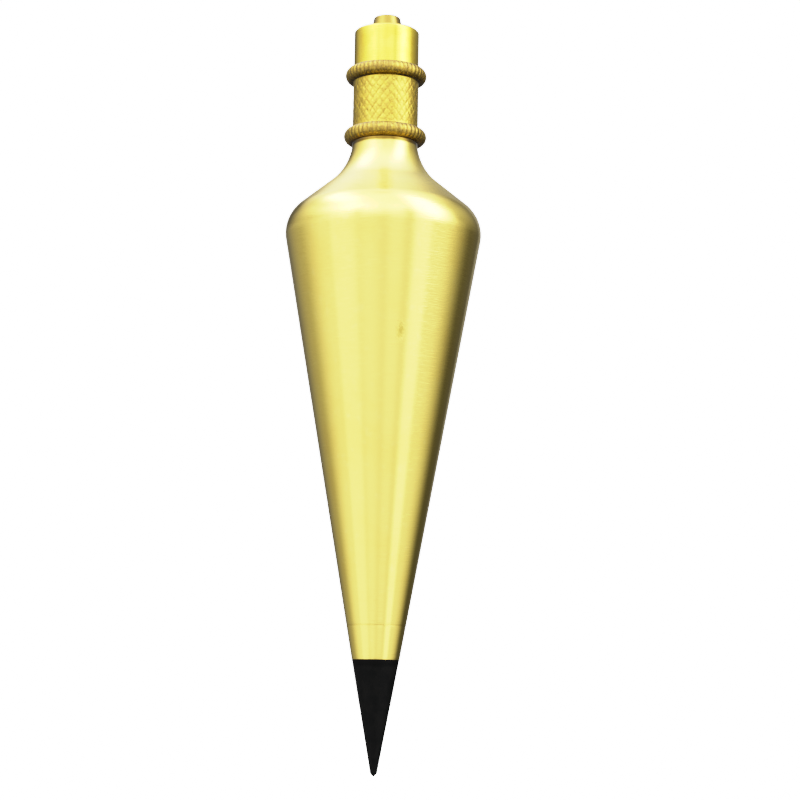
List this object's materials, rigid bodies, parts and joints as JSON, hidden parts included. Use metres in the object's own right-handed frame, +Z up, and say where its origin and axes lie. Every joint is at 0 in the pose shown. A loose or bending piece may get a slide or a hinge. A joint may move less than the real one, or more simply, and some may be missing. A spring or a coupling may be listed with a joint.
{
  "type": "plumb bob",
  "caption": "Turned brass plumb bob on a line swivel, with a knurled screw cap over the knot chamber and a replaceable blackened steel point",
  "frame": {"origin": "middle of the mouth of the line bore, on top of the swivel nipple, where the line leaves the bob", "axes": "+Z up the common axis, along the line towards its support, so the bob hangs below the origin with its point at the lowest z; +X and +Y are any two square directions, because the bob is round"},
  "size_m": [0.038, 0.038, 0.1477],
  "materials": {
    "turned_brass": "fine turned, bright, lightly lacquered",
    "knurled_brass": "knurled and turned, slightly tarnished in the grooves",
    "swivel_brass": "turned, worn by the line",
    "washer_steel": "plain",
    "collar_brass": "fine turned, bright",
    "blackened_steel": "hardened, black oxide, matte"
  },
  "bodies": {
    "swivel": {"line_swivel": "swivel_brass"},
    "cap": {"knurled_cap": "knurled_brass"},
    "washer": {"thrust_washer": "washer_steel"},
    "weight": {"brass_weight": "turned_brass"},
    "collar": {"tip_collar": "collar_brass"},
    "point": {"steel_point": "blackened_steel"}
  },
  "joints": [
    {"name": "line_turn", "type": "hinge", "parent": "swivel", "child": "cap", "pos_m": [0, 0, -0.0177], "axis": [0, 0, 1], "continuous": true},
    {"name": "cap_turn", "type": "hinge", "parent": "cap", "child": "washer", "pos_m": [0, 0, -0.0337], "axis": [0, 0, -1], "range_deg": [0, 4322]},
    {"name": "cap_lift", "type": "slide", "parent": "washer", "child": "weight", "axis": [0, 0, -1], "range_m": [0, 0.0127]},
    {"name": "tip_drop", "type": "slide", "parent": "weight", "child": "collar", "axis": [0, 0, -1], "range_m": [0, 0.00953]},
    {"name": "tip_turn", "type": "hinge", "parent": "collar", "child": "point", "pos_m": [0, 0, -0.1227], "axis": [0, 0, -1], "range_deg": [0, 4322]}
  ],
  "couplings": [
    {"joint": "cap_turn", "follows": "cap_lift", "rad_per_m": 5936.9},
    {"joint": "tip_turn", "follows": "tip_drop", "rad_per_m": 7915.8}
  ]
}
